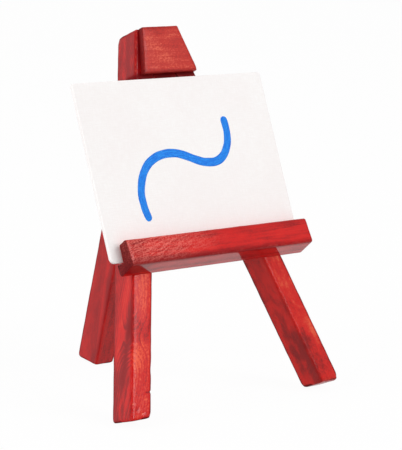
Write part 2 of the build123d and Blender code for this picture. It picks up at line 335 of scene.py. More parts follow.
def woodMaterial(name, heartAt, heartTurn, coat=0.6, coatRoughness=0.12, edgeDull=0.6, edgeWearAndHighlight=0.6,
                 endDark=0.8, dustSheen=None, **grain):
    # Stained and varnished wood for one bar, cut from its own piece of the solid pattern, with rubbed, bare
    # and cut wood blended over it, a painted highlight on the pale edge wear, a painted sheen in the rubbed
    # streaks and painted shadow where the stain and shade field is darkest. The varnish is multiplied down on
    # the edges, on cut ends, where that field is darkest and where hands rub it.
    finish = woodFinish
    material, tree, shader = newMaterial(name, {
        "Specular IOR Level": finish["specular"], "Coat Roughness": coatRoughness,
        "Coat IOR": finish["varnishIor"]})
    point = meshField(tree, "grainPoint", "Vector")
    labels = ("nearEdge", "stain", "calm", "chip", "cutEnd", "handled")
    edge, stain, calm, chip, cut, handled = (meshField(tree, label) for label in labels)
    heart = node("ShaderNodeMapping", dict(
        Vector=point, Location=heartAt, Rotation=[math.radians(x) for x in heartTurn]), vector_type="TEXTURE")
    settings = dict(point=point, heart=heart.outputs[0], edge=edge, stain=stain, calm=calm,
                    dark=finish["dark"], red=finish["red"], bright=finish["bright"])
    wood = placeGroup(woodGroup, **{**settings, **grain})
    colour = wood["colour"]
    smooth = finish["roughness"]
    rough = slide(wood["glossLoss"], 0.0, 1.0, smooth, smooth + finish["dryRougher"])
    if dustSheen:
        mask = placeGroup(dustSheenGroup, point=point, **dustSheen)["mask"]
        colour = blendColour(mask, colour, finish["paleWearAndSheen"])
        rough = plus(rough, times(mask, finish["dustSheenRougher"]))
    # Pale worn spots along the edges, which also stand for a painted highlight there.
    worn = placeGroup(edgeWearHighlightGroup, point=point, edge=edge, amount=edgeWearAndHighlight)["mask"]
    soak = noise(point, drawnOut["soak"], 3.0, 0.6)
    cut = times(cut, slide(soak, 0.3, 0.75, endDark, endDark * 0.55))
    # Blended over: pale edge wear with a painted highlight, bare chips, cut ends, and end grain colour as
    # painted shadow where the stain and shade field is darkest.
    for amount, over in ((worn, "paleWearAndSheen"), (slide(chip, 0.35, 0.8, 0.0, 0.75), "bare"),
                         (cut, "endGrainAndShadow"), (slide(stain, -1.15, -0.5, 0.7, 0.0), "endGrainAndShadow")):
        colour = blendColour(amount, colour, finish[over])
    gloss = slide(stain, -1.0, -0.45, 0.1, 1.0)
    for share, loss in ((edge, edgeDull), (cut, finish["cutDull"]), (handled, finish["handledDull"])):
        gloss = times(gloss, oneMinus(times(share, loss)))
    feed(shader.inputs["Coat Weight"], times(gloss, coat))
    dress(shader, colour, wood["height"], *finish["relief"], rough)
    return material


# Surfaces
def between(a, b, share):
    # From a to b by a share.
    return a + (b - a) * share


def unit(vectors):
    # The same vectors at length 1.
    return vectors / np.linalg.norm(vectors, axis=-1, keepdims=True)


def smoothField(points, pitch, seed, waves=7):
    # Soft random field from -1 to 1: the mean of a few sine waves in random directions, of about that pitch.
    rng = np.random.default_rng(seed)
    turns = unit(rng.normal(size=(waves, 3)))
    turns *= rng.uniform(0.6, 1.5, (waves, 1)) * 2 * math.pi / np.asarray(pitch)
    return np.sin(points @ turns.T + rng.uniform(0, 2 * math.pi, waves)).mean(1) * 1.8


def wornAway(points, near, piece, wear):
    # How far a surface is taken inwards: a slow unevenness everywhere, and a quicker one near the edges.
    slow, quick = (0.5 + 0.5 * smoothField(points, wear[pitch], piece["seed"] + i)
                   for i, pitch in enumerate(("slowPitch", "quickPitch")))
    return piece["worn"] * (wear["slowShare"] * slow + near * quick)


def cutEnd(fromEnd, wear):
    # 1 on a sawn end, down to 0 a little way in.
    return np.clip(1 - (fromEnd - wear["endStarts"]) / wear["endFades"], 0, 1)


def axisSteps(half, radius, flat, rounded):
    # Places along one axis of a box: close together over the rounded ends, even between them.
    curve = half - radius + radius * np.linspace(0, 1, rounded + 1)
    return np.concatenate([-curve[::-1], np.linspace(radius - half, half - radius, flat + 1)[1:-1], curve])


def roundedBox(half, radius, flats, rounded=4):
    # Box surface as six grids, with its outward directions. Each point is pulled to the nearest point of a
    # smaller box and pushed out again by the radius, which rounds every edge and corner.
    steps = [axisSteps(half[i], radius, flats[i], rounded) for i in range(3)]
    points, quads, count = [], [], 0
    for axis in range(3):
        b, c = (axis + 1) % 3, (axis + 2) % 3
        gridB, gridC = np.meshgrid(steps[b], steps[c], indexing="ij")
        rows, columns = gridB.shape
        index = np.arange(rows * columns).reshape(rows, columns)
        quad = np.stack([index[:-1, :-1], index[1:, :-1], index[1:, 1:], index[:-1, 1:]], -1).reshape(-1, 4)
        for side in (1, -1):
            grid = np.zeros((rows, columns, 3))
            grid[..., axis], grid[..., b], grid[..., c] = side * half[axis], gridB, gridC
            points.append(grid.reshape(-1, 3))
            quads.append((quad if side > 0 else quad[:, ::-1]) + count)
            count += rows * columns
    points, quads = np.concatenate(points), np.concatenate(quads)
    _, first, back = np.unique(np.round(points, 6), axis=0, return_index=True, return_inverse=True)
    points, quads = points[first], back.reshape(-1)[quads]
    inner = np.clip(points, radius - half, half - radius)
    out = unit(points - inner)
    return inner + radius * out, out, quads


def tubeFaces(rows, columns, closedEnd=True):
    # Quads between neighbouring rows of a grid whose columns close on themselves, and a flat face over
    # the first row and, unless it stays open, the last.
    index = np.arange(rows * columns).reshape(rows, columns)
    beside = np.roll(index, -1, 1)
    quads = np.stack([index[:-1], beside[:-1], beside[1:], index[1:]], -1).reshape(-1, 4)
    return quads.tolist() + [index[0, ::-1].tolist()] + ([index[-1].tolist()] if closedEnd else [])


def buildMesh(name, points, faces, fields=None):
    # A mesh object at the origin from points in millimetres, with its faces turned outwards.
    points = np.asarray(points, float)
    mesh = bpy.data.meshes.new(name)
    mesh.from_pydata((points * mm).tolist(), [], [list(map(int, face)) for face in faces])
    mesh.update()
    mesh.calc_loop_triangles()
    triangles = np.zeros(len(mesh.loop_triangles) * 3, int)
    mesh.loop_triangles.foreach_get("vertices", triangles)
    a, b, c = (points[triangles[i::3]] for i in range(3))
    if np.einsum("ij,ij->i", a, np.cross(b, c)).sum() < 0:
        mesh.flip_normals()
    mesh.polygons.foreach_set("use_smooth", [True] * len(mesh.polygons))
    for label, values in (fields or {}).items():
        values = np.asarray(values, np.float32)
        if values.ndim == 2:
            mesh.attributes.new(label, "FLOAT_VECTOR", "POINT").data.foreach_set("vector", values.ravel())
        else:
            mesh.attributes.new(label, "FLOAT", "POINT").data.foreach_set("value", values)
    piece = bpy.data.objects.new(name, mesh)
    bpy.context.collection.objects.link(piece)
    return piece


def finishPiece(piece, body, material, slot, *nodes):
    # Hands a piece to its body and material, and hides the solids that it stands for. The slot is not used.
    piece.data.materials.append(material)
    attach(piece, body)
    if nodes:
        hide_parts(*nodes)


def bell(points, place, across, along):
    # A bell curve of the distance from a place: 1 there, and falling away across and along the bar.
    return np.exp(-(((points - place) / (across, across, along)) ** 2).sum(1))


# What every bar's wear and painted outline shade have in common: pitches and widths in millimetres, the rest
# as shares
wear = dict(slowPitch=(14, 14, 30), quickPitch=(5, 5, 7), slowShare=0.35, edgeReach=0.9,
            outlineShadeEdge=(0.35, 0.4), endStarts=0.1, endFades=0.4)
plainBar = dict(dents=(), spots=(), leftFacingShade=0.0, outlineShade=0.0)


def wornBar(size, bar, lengthAxis=2):
    # A rounded box whose surface is taken inwards: by a slow unevenness, softer edges and a few dents, each a
    # bell curve (place, depth, reach across and along, bare share). Also gives the fields that its wood
    # reads: place along the grain, edges, chips, cut ends, calm faces, and the stain with painted shade,
    # which is spots of stain and of painted shade (place, amount, reach across and along), a painted shade
    # for the whole face that looks left, and a painted dark line of shade along the two long edges whose x
    # and y have the same sign, the edges that show as the outline.
    bar = {**plainBar, **bar}
    half = np.array(size) / 2
    points, out, quads = roundedBox(half, bar["rounding"], bar["flats"])
    gap = np.sort(half - np.abs(points), axis=1)
    near = np.exp(-(np.hypot(gap[:, 0], gap[:, 1]) / wear["edgeReach"]) ** 2)
    inwards = wornAway(points, near, bar, wear)
    chip = np.zeros(len(points))
    for *place, deep, across, along, bare in bar["dents"]:
        dent = bell(points, place, across, along)
        inwards += deep * dent
        chip = np.maximum(chip, bare * dent)
    grain = points[:, [(lengthAxis + 1) % 3, (lengthAxis + 2) % 3, lengthAxis]]
    end = cutEnd(half[lengthAxis] - np.abs(grain[:, 2]), wear)
    left = np.clip(-out[:, 0], 0, 1)
    # Painted shade: a dark line along the two edges that show as the outline, and a darker left-facing face.
    outlineStarts, outlineFades = wear["outlineShadeEdge"]
    outlineShadeMask = np.clip((near - outlineStarts) / outlineFades, 0, 1) * (points[:, 0] * points[:, 1] > 0)
    stain = stainSpots(points, bar["spots"]) + bar["leftFacingShade"] * left - bar["outlineShade"] * outlineShadeMask
    fields = dict(grainPoint=grain, nearEdge=near, chip=chip, cutEnd=end, stain=stain, calm=left)
    return half, points - out * inwards[:, None], fields, quads


def stainSpots(points, spots):
    # Darker or brighter spots of stain and of painted shade, added up.
    blots = (amount * bell(points, place, across, along) for *place, amount, across, along in spots)
    return sum(blots, np.zeros(len(points)))


# Front legs: each is a bar that runs from the top down and outwards
frontLegs = dict(
    width=9.8, depth=13.3, top=164.4, worn=0.12, flats=(14, 18, 330), outlineShade=1.1,
    left=dict(
        toe=4.311, heel=5.591, rounding=0.85, seed=11, leftFacingShade=-0.3,
        dents=[(4.74, 6.49, -72.8, 0.42, 1.6, 0.4, 0.0), (-4.11, 6.65, -76.4, 0.12, 0.5, 0.4, 1.0),
               (4.9, 6.49, -64.0, 0.15, 0.9, 2.2, 0.0), (0.42, 6.65, -81.0, 0.12, 0.9, 0.4, 0.8),
               (4.9, 6.49, -83.0, 0.45, 1.2, 1.2, 0.0), (-4.9, -6.6, -83.4, 0.5, 1.0, 1.0, 0.0),
               (-1.9, 6.65, -79.2, 0.14, 0.5, 0.7, 0.0), (-4.9, -6.6, 83.0, 0.6, 1.5, 1.8, 0.0),
               *[(-4.85, 6.6, z, 0.06, 0.45, 1.3, 0.8) for z in (81.5, 78.0, 75.2, 71.0, 67.5, 64.8)]],
        # The spots at z 73.0 beside the head block and at z 61.6 just under it are painted shadow of the head
        # block; the wide one at z 62.0 on the left face is painted shade.
        spots=[(-4.85, 6.6, -45.0, -0.10, 4.0, 6.0), (2.11, 6.6, -46.0, -0.24, 5.0, 4.0),
               (3.16, 6.6, -72.7, -0.5, 1.9, 0.4), (-1.9, 6.6, -79.0, -0.4, 0.6, 0.9),
               (2.11, 6.6, -75.5, 0.3, 1.4, 0.5), (-2.53, 6.6, -58.0, 0.40, 3.0, 6.0),
               (0.0, 6.6, -30.0, 0.22, 5.0, 10.0), (4.22, 6.6, -70.0, -0.12, 2.5, 8.0),
               (-3.27, 6.65, 73.0, -0.9, 1.0, 13.0), (0.0, 6.65, 61.6, -1.2, 9.0, 1.7),
               *[(-4.9, 3.3 - 2.2 * i, -26.0 - 9.0 * i, 0.28, 1.8, 7.0) for i in range(4)],
               *[(-4.9, 5.9 - 1.8 * i, -36.0 - 10.0 * i, -0.26, 2.0, 8.0) for i in range(4)],
               (-4.9, -4.95, -70.0, -0.20, 2.4, 12.0), (-4.9, 3.3, -75.0, 0.16, 2.6, 6.0),
               (-4.9, 0.0, 62.0, -0.24, 6.0, 30.0), (-4.9, -1.32, 66.0, 0.24, 1.6, 24.0),
               (-4.9, 3.3, 68.0, 0.1, 0.8, 14.0)]),
    right=dict(
        toe=5.536, heel=5.536, rounding=0.75, seed=23, leftFacingShade=-0.14,
        dents=[(4.85, -2.2, -60.0, 0.2, 1.1, 1.6, 0.0), (-4.85, 6.49, 12.0, 0.15, 0.6, 1.2, 0.0),
               (4.95, 6.7, -82.6, 1.1, 1.7, 1.7, 0.0), (-4.95, 6.7, -82.8, 0.8, 1.6, 1.6, 0.0),
               (-1.69, 6.7, -82.8, 0.75, 1.9, 1.5, 0.0), (1.69, 6.7, -82.8, 0.7, 1.9, 1.5, 0.0),
               (-4.95, -6.7, -82.8, 0.7, 1.3, 1.3, 0.0), (4.95, -6.7, -82.6, 0.6, 1.4, 1.6, 0.0)],
        # The last spot, just under the head block, is painted shadow of the head block.
        spots=[(-4.9, -3.3, -22.0, -0.12, 4.5, 9.0), (-4.9, 4.95, -64.0, -0.22, 3.0, 12.0),
               (-4.9, 0.0, -70.0, -0.28, 5.0, 12.0), (1.05, 6.6, -18.0, 0.20, 4.0, 7.0),
               (3.16, 6.6, -61.0, 0.15, 2.6, 7.0), (-2.11, 6.6, -66.0, -0.22, 3.4, 9.0),
               (3.2, 6.6, -74.0, -0.24, 3.4, 7.0), (0.0, 6.65, 61.6, -1.2, 9.0, 1.7)]),
)


def frontLeg(name, which, material):
    # Across, depth and height of a worn bar become the leg: height runs between the top and a
    # foot whose cut drops from toe to heel, and the width slides outwards with the drop from the top.
    leg = {**frontLegs, **frontLegs[which]}
    side = -1 if which == "left" else 1
    splay = math.radians(stance["splay"])
    length = (leg["top"] - leg["toe"]) / math.cos(splay)
    half, points, fields, quads = wornBar((leg["width"], leg["depth"], length), leg)
    n = points[:, 1] - half[1]
    foot = between(leg["toe"], leg["heel"], -n / leg["depth"])
    v = between(leg["top"], foot, (half[2] - points[:, 2]) / length)
    u = side * ((leg["top"] - v) * math.tan(splay) + (half[0] + side * points[:, 0]) / math.cos(splay))
    piece = buildMesh(name, toRoom(u, v, n), quads, fields)
    finishPiece(piece, "frame", material, "frame_legs", which + "_front_leg")


frontLeg("leftLegBar", "left", woodMaterial(
    "leftLegWood", (-7.0, 9.0, -46.0), (-14.0, 4.0, 0.0), coat=0.7, edgeDull=1.0, edgeWearAndHighlight=0.12, endDark=0.5,
    ringPitch=1.15, ringWarp=4.0, rings=0.25, fibres=0.08, patches=0.24, flecks=0.36, patchSize=5.0,
    patchDraw=0.6, tone=0.54, knot=(-8.5, 9.0, -50.0), knotSize=9.0, knotPull=10.0))
frontLeg("rightLegBar", "right", woodMaterial(
    "rightLegWood", (-14.0, 6.0, 40.0), (-3.5, 4.0, 0.0), coat=0.45, edgeDull=0.6, edgeWearAndHighlight=0.16, endDark=0.1,
    ringPitch=3.4, ringWarp=5.0, rings=0.12, fibres=0.14, patches=0.44, flecks=0.20, patchSize=6.0,
    patchDraw=0.7, tone=0.53, dark=(136, 20, 20), red=(204, 28, 22), bright=(232, 104, 68)))
print("front legs built")


# Rear leg: its head is bevelled to lie on the front legs' backs, and a shallow groove clears the knuckles
rearLeg = dict(
    width=9.8, depth=13.3, front=-1.0, headFront=-0.3306, headBack=17.584, footFront=-119.469,
    footBack=-121.158, rounding=0.62, worn=0.12, flats=(14, 18, 300), seed=37, grooveRadius=1.3,
    leftFacingShade=-0.36, outlineShade=0.35,
    dents=[(4.85, 2.2, -30.0, 0.2, 1.0, 1.6, 0.0), (-4.9, -6.6, -59.8, 0.45, 1.2, 1.2, 0.0),
           (-4.9, 6.6, -59.6, 0.2, 0.9, 0.9, 0.0), (4.9, 6.6, -59.6, 0.3, 1.0, 1.0, 0.0)],
    spots=[(0.0, 6.6, -30.0, -0.36, 5.0, 40.0)],
)


def rearLegBar(name, material):
    # Height of a worn bar runs between the bevelled head and the foot, both planes across the depth; p is
    # the height from the hinge line, q the depth. On the front, a circle's arc about that line is taken out.
    leg = rearLeg
    length = leg["headFront"] - leg["footFront"]
    half, points, fields, quads = wornBar((leg["width"], leg["depth"], length), leg)
    q = points[:, 1] - half[1]
    share = -q / leg["depth"]
    head = between(leg["headFront"], leg["headBack"], share)
    foot = between(leg["footFront"], leg["footBack"], share)
    p = between(foot, head, (points[:, 2] + half[2]) / length)
    q = q + leg["front"]
    lift = leg["grooveRadius"] ** 2 - p ** 2
    q = np.where(lift > 0, np.minimum(q, -np.sqrt(np.clip(lift, 0, None))), q)
    piece = buildMesh(name, rearToRoom(points[:, 0], p, q), quads, fields)
    finishPiece(piece, "rear_leg", material, "rear_leg", "rear_leg")


rearLegBar("rearLegBar", woodMaterial(
    "rearLegWood", (12.0, -9.0, 10.0), (3.0, 1.5, 0.0), coat=0.75, edgeWearAndHighlight=0.08, edgeStain=0.0,
    ringPitch=3.0, ringWarp=3.0, rings=0.12, fibres=0.14, patches=0.24, flecks=0.22, patchSize=8.0,
    tone=0.58))
print("rear leg built")


# Head block: a thin trapezoid over the legs' tops
headBlock = dict(
    height=20.0, thickness=2.9, topWidth=19.0, bottomWidth=29.0, topShift=0.55, bottomShift=1.3,
    rounding=0.5, worn=0.07, flats=(70, 10, 56), seed=51,
    dents=[(11.7, 1.3, -9.7, 0.3, 0.9, 0.9, 0.0)],
    spots=[(6.0, 1.5, 2.0, -0.2, 5.0, 4.0), (-6.0, 1.5, -1.0, 0.12, 5.0, 5.0),
           (9.0, 1.5, -6.0, -0.16, 5.0, 4.0), (0.0, 1.5, 9.0, -0.3, 12.0, 2.0),
           (-12.0, 1.5, -9.0, -0.3, 4.0, 2.0), (-12.0, -1.0, 0.0, -0.7, 2.0, 12.0),
           (0.0, 1.4, -9.8, -0.6, 12.0, 0.8)],
)


def headPlate(name, material):
    # A worn bar, its grain sideways, whose width and middle change evenly from top to bottom.
    plate = headBlock
    middle = (plate["topWidth"] + plate["bottomWidth"]) / 2
    half, points, fields, quads = wornBar((middle, plate["thickness"], plate["height"]), plate, 0)
    t = (half[2] - points[:, 2]) / plate["height"]
    width = between(plate["topWidth"], plate["bottomWidth"], t)
    u = between(plate["topShift"], plate["bottomShift"], t) + points[:, 0] * width / middle
    place = toRoom(u, frontLegs["top"] - t * plate["height"], points[:, 1] + half[1])
    finishPiece(buildMesh(name, place, quads, fields), "frame", material, "head_block", "head_block")


headPlate("headPlate", woodMaterial(
    "headWood", (3.0, -16.0, 0.0), (0.0, 3.0, 0.0), coat=0.6, edgeWearAndHighlight=0.15, endDark=0.85, edgeStain=0.7,
    ringPitch=2.6, ringWarp=5.0, rings=0.16, fibres=0.14, patches=0.32, flecks=0.42, patchSize=6.0,
    patchDraw=0.7, tone=0.60, dark=(146, 26, 22), red=(190, 38, 28), bright=(226, 98, 72)))
print("head block built")


# Cross piece between the legs, which carries the hinge
# The spot high on the front is painted shadow of the head block.
crossPiece = dict(
    high=153.8, height=34.3, depth=11.0, back=-11.6, rounding=0.4, worn=0.05, flats=(64, 18, 130),
    hingeAt=(131.8, -12.6), hollow=1.3, hollowHalf=4.3, seed=63, spots=[(0.0, 5.5, 6.8, -1.2, 12.0, 2.5)],
)


def crossBlock(name, material):
    # A worn bar, its grain sideways, that widens downwards as the legs' inner faces do. Behind, a circle's
    # arc about the hinge line is taken out for the knuckles.
    block = crossPiece
    spread = math.tan(math.radians(stance["splay"]))
    highHalf = (frontLegs["top"] - block["high"]) * spread
    lowHalf = (frontLegs["top"] - block["high"] + block["height"]) * spread
    half, points, fields, quads = wornBar((highHalf + lowHalf, block["depth"], block["height"]), block, 0)
    t = (half[2] - points[:, 2]) / block["height"]
    u = points[:, 0] * between(highHalf, lowHalf, t) / half[0]
    v, n = block["high"] - t * block["height"], points[:, 1] + half[1] + block["back"]
    hingeV, hingeN = block["hingeAt"]
    lift = block["hollow"] ** 2 - (v - hingeV) ** 2
    arc = hingeN + np.sqrt(np.clip(lift, 0, None))
    n = np.where((lift > 0) & (np.abs(u) < block["hollowHalf"]), np.maximum(n, arc), n)
    piece = buildMesh(name, toRoom(u, v, n), quads, fields)
    finishPiece(piece, "frame", material, "hinge_block", "hinge_block")


# The low tone is painted shade: the block lies in the head block's shadow.
crossBlock("crossBlock", woodMaterial(
    "crossWood", (3.0, 12.0, 0.0), (0.0, 2.0, 0.0), coat=0.5, ringPitch=3.0, ringWarp=3.0, rings=0.14,
    fibres=0.2, patches=0.35, flecks=0.2, patchSize=9.0, tone=0.26))
print("cross piece built")


# Tray: one bar with a raised lip in front of the groove
tray = dict(
    corners=[(61.4, -1.0, 1.15), (64.8, 9.1, 1.15), (75.7, 7.7, 1.1), (74.4, 2.7, 0.7), (67.0, 2.7, 0.25),
             (67.0, -1.0, 0.2)],
    outerCorners=4, left=-46.35, right=51.9, middle=(5.0, 68.0, 0.0), endRound=0.5, endSteps=5,
    lengthSteps=300, arcSteps=8, runStep=0.45, seed=71, worn=0.1, slowShare=0.4, slowPitch=(12, 12, 30),
    quickPitch=(4, 4, 8), edgeReach=1.3, endReach=0.8, endStarts=0.1, endFades=0.35,
    # The long spot along the lower front edge, at (3.9, -2.4, -24.0), is painted shade on the rounding.
    spots=[(3.5, 5.0, -40.0, -0.2, 5.0, 7.0), (3.5, 3.0, -22.0, -0.12, 4.0, 9.0),
           (3.5, 0.0, -5.0, 0.16, 3.0, 24.0), (3.5, 6.0, 20.0, -0.10, 3.0, 40.0),
           (1.0, -5.6, -44.0, -0.6, 4.0, 8.0), (3.9, -2.4, -24.0, -0.42, 1.9, 60.0),
           (-1.0, -5.6, 5.0, -0.1, 4.0, 80.0)],
)


def cornerArcs(corners, arcSteps):
    # The corners of a closed outline, each with its own radius, as the points of their arcs.
    places = np.array(corners, float)[:, :2]
    arcs = []
    for i, (*_, radius) in enumerate(corners):
        before, here, after = places[i - 1], places[i], places[(i + 1) % len(places)]
        a, b = unit(before - here), unit(after - here)
        half = math.acos(float(np.clip(a @ b, -1, 1))) / 2
        centre = here + unit(a + b) * radius / math.sin(half)
        start, end = here + a * radius / math.tan(half), here + b * radius / math.tan(half)
        one, two = start - centre, end - centre
        angle = math.acos(float(np.clip(one @ two / radius ** 2, -1, 1)))
        w = np.linspace(0, 1, arcSteps + 1)[:, None]
        arcs.append(centre + (np.sin((1 - w) * angle) * one + np.sin(w * angle) * two) / math.sin(angle))
    return arcs


def closedOutline(arcs, steps):
    # The arcs and the straight runs between them, each run in its own number of even steps.
    runs = []
    for arc, after, count in zip(arcs, arcs[1:] + arcs[:1], steps):
        share = np.linspace(0, 1, count + 1)[1:-1, None]
        runs += [arc, between(arc[-1], after[0], share)]
    return np.concatenate(runs)


def outwardNormals(ring):
    # Unit vectors square to a closed outline, pointing away from its inside.
    ahead = np.roll(ring, -1, 0) - np.roll(ring, 1, 0)
    normal = unit(np.stack([ahead[:, 1], -ahead[:, 0]], -1))
    area = (ring[:, 0] * np.roll(ring[:, 1], -1) - np.roll(ring[:, 0], -1) * ring[:, 1]).sum()
    return normal * (1 if area > 0 else -1)


def trayBar(name, material):
    # The outline carried from end to end; at the ends it draws in along a quarter circle, and closes flat.
    # It is worn as the bars are, and what faces forwards is handled.
    arcs = cornerArcs(tray["corners"], tray["arcSteps"])
    runs = [np.linalg.norm(after[0] - arc[-1]) for arc, after in zip(arcs, arcs[1:] + arcs[:1])]
    ring = closedOutline(arcs, [max(2, int(run / tray["runStep"])) for run in runs])
    normal = outwardNormals(ring)
    turn = np.linspace(0, math.pi / 2, tray["endSteps"] + 1)
    step, drawn = tray["endRound"] * (1 - np.cos(turn)), tray["endRound"] * (1 - np.sin(turn))
    middle = np.linspace(tray["left"] + step[-1], tray["right"] - step[-1], tray["lengthSteps"] + 1)[1:-1]
    x = np.concatenate([tray["left"] + step, middle, (tray["right"] - step)[::-1]])
    inset = np.concatenate([drawn, 0 * middle, drawn[::-1]])
    rows, columns = len(x), len(ring)
    flat = ring[None] - normal[None] * inset[:, None, None]
    along = np.broadcast_to(x[:, None, None], (rows, columns, 1))
    points = np.concatenate([flat, along], -1).reshape(-1, 3)
    corner = np.array(tray["corners"])[:tray["outerCorners"], :2]
    fromCorner = np.linalg.norm(points[:, None, :2] - corner[None], axis=2).min(1)
    fromEnd = np.minimum(points[:, 2] - tray["left"], tray["right"] - points[:, 2])
    near = np.maximum(np.exp(-(fromCorner / tray["edgeReach"]) ** 2),
                      np.exp(-(fromEnd / tray["endReach"]) ** 2))
    grain = points[:, [1, 0, 2]] - tray["middle"]
    out = np.tile(normal, (rows, 1))
    v, n = (points[:, :2] - out * wornAway(points, near, tray, tray)[:, None]).T
    fields = dict(grainPoint=grain, nearEdge=near, stain=stainSpots(grain, tray["spots"]),
                  cutEnd=cutEnd(fromEnd, tray), handled=np.clip(out[:, 1], 0, 1) ** 2)
    piece = buildMesh(name, toRoom(points[:, 2], v, n), tubeFaces(rows, columns), fields)
    finishPiece(piece, "frame", material, "tray", "tray")


# Near the tray's left end, rubbed dust and a painted sheen of reflected light lie over the front.
trayBar("trayBar", woodMaterial(
    "trayWood", (6.0, 11.0, 0.0), (1.0, 2.0, 0.0), coat=1.0, coatRoughness=0.08, edgeWearAndHighlight=0.14, endDark=1.0,
    edgeStain=0.8, ringPitch=3.8, ringWarp=2.5, rings=0.18, fibres=0.20, patches=0.30, flecks=0.10,
    patchSize=7.0, tone=0.42, dustSheen=dict(
        centre=(4.0, 4.0, -40.0), reach=(14.0, 9.5, 50.0), slant=(0.26, 0.0, 0.0), amount=0.85, grit=2.1)))
print("tray built")


# Canvas board: cloth wrapped round a card core. Insets run inwards from the board's edges
board = dict(
    width=102.0, height=75.0, shift=-0.3, low=67.3, front=1.92, back=0.42, edgeRound=0.35, cloth=0.25,
    corners=(1.5, 1.2, 1.3, 2.3), leastRadius=0.06, runStep=1.6, arcSteps=8, turnPoints=6,
    frontInsets=[34.0, 24.0, 14.0, 7.0, 3.5, 1.6, 0.8], flapInsets=[0.8, 1.6, 2.6, 4.0, 6.5, 9.0],
    mitreRise=0.09, mitreReach=1.6, threadInset=0.4, cardInsets=[34.0, 12.0, 2.0], cardGap=0.005,
    cardEase=0.1,
)


def boardOutline(inset):
    # The board's outline drawn in from its edges. Its corners keep what is left of their radius, and its
    # straight runs are divided evenly, into the same number of steps at every inset.
    w, h = board["width"] / 2 - inset, board["height"] / 2 - inset
    radii = [max(radius - inset, board["leastRadius"]) for radius in board["corners"]]
    corners = [(w, -h, radii[0]), (w, h, radii[1]), (-w, h, radii[2]), (-w, -h, radii[3])]
    steps = [int(run / board["runStep"]) for run in (board["height"], board["width"])] * 2
    return closedOutline(cornerArcs(corners, board["arcSteps"]), steps)


def ringedSheet(insets, depths):
    # Rings of the board's outline, each drawn in by an inset and set at a depth, as rows of a grid.
    rings = np.stack([boardOutline(inset) for inset in insets])
    return rings, np.repeat(np.array(depths, float)[:, None], rings.shape[1], 1)


def placeOnBoard(rings, n):
    # The board's own middle to the room.
    u, v = rings[..., 0].ravel(), rings[..., 1].ravel()
    return toRoom(u + board["shift"], v + board["low"] + board["height"] / 2, n.ravel())


def canvasSheet(name, material):
    # One cloth, from the middle of the front, round the edges by a quarter circle each, to the turned
    # flaps behind, which meet in mitres where the cloth lies double.
    frontInsets, flapInsets = board["frontInsets"], board["flapInsets"]
    turn = np.linspace(0, math.pi / 2, board["turnPoints"])
    begins, ends = board["edgeRound"] * (1 - np.sin(turn)), board["edgeRound"] * (1 - np.cos(turn))
    depths = [*[board["front"]] * len(frontInsets), *(board["front"] - ends), *(board["back"] + begins),
              *[board["back"]] * len(flapInsets)]
    rings, n = ringedSheet([*frontInsets, *begins, *ends, *flapInsets], depths)
    rows, columns = n.shape
    mitre = np.abs(np.abs(rings[..., 0]) - board["width"] / 2 - np.abs(rings[..., 1]) + board["height"] / 2)
    flap = (np.arange(rows) >= rows - len(flapInsets))[:, None]
    n = n - flap * board["mitreRise"] * np.exp(-(mitre / board["mitreReach"]) ** 2)
    outwards = outwardNormals(boardOutline(board["threadInset"]))
    cloth = rings + outwards[None] * (board["front"] - n)[..., None]
    cloth = np.concatenate([cloth, np.zeros((rows, columns, 1))], -1).reshape(-1, 3)
    faces = tubeFaces(rows, columns, closedEnd=False)
    piece = buildMesh(name, placeOnBoard(rings, n), faces, dict(clothPoint=cloth))
    thick = piece.modifiers.new("clothThickness", "SOLIDIFY")
    thick.thickness = board["cloth"] * mm
    thick.offset = -1
    finishPiece(piece, "board", material, "canvas", "canvas_cover")
    return piece


def cardCore(name, material):
    # A flat card, its outline the cloth's inner face, its long edges barely eased.
    back, front, ease = board["back"] + board["cloth"], board["front"] - board["cloth"], board["cardEase"]
    skin = board["cloth"] + board["cardGap"]
    insets = [*board["cardInsets"], skin + ease, skin]
    flat = len(insets) - 1
    depths = [*[front] * flat, front - ease, back + ease, *[back] * flat]
    rings, n = ringedSheet(insets + insets[::-1], depths)
    piece = buildMesh(name, placeOnBoard(rings, n), tubeFaces(*n.shape))
    finishPiece(piece, "board", material, "board_core", "board_core")


def canvasMaterial():
    # Primed canvas: a broad noise blends two warm whites, greyer where the threads are thin, and the weave
    # is the relief.
    material, tree, shader = newMaterial("primedCanvas", {"Specular IOR Level": 0.25, "Roughness": 0.75})
    point = meshField(tree, "clothPoint", "Vector")
    weave = placeGroup(weaveGroup, point=point, threadPitch=0.42, unevenness=0.3)
    broad = slide(noise(point, 0.03, 3.0, 0.6), 0.3, 0.7)
    colour = blendColour(broad, (252, 250, 249), (250, 246, 245))
    thin = times(slide(weave["slub"], 0.42, 0.62, 1.0, 0.0), 0.35)
    dress(shader, blendColour(thin, colour, (243, 237, 235)), weave["height"], 0.22, 0.06)
    return material


clothPiece = canvasSheet("canvasCloth", canvasMaterial())


def measuredArea(piece):
    # The area of a mesh in square metres.
    return sum(face.area for face in piece.data.polygons)


print("canvas board built, cloth area", round(measuredArea(clothPiece), 5))


# Painted line: a low ribbon of paint along a smooth wave
paintLine = dict(
    points=[(-27.1, 82.6), (-28.6, 91.5), (-27.0, 98.9), (-22.0, 105.9), (-13.4, 109.7), (-3.8, 109.4),
            (4.5, 106.2), (11.2, 104.7), (17.4, 105.7), (22.1, 110.0), (24.3, 116.1), (24.0, 124.0)],
    width=3.9, height=0.1, steps=260, across=16, seed=91, waver=0.05, waverPitch=7, leastTaper=0.0004,
    streakDrawn=0.15, streakPitch=0.8, streakRise=0.15, sunk=0.02, underside=0.05,
)


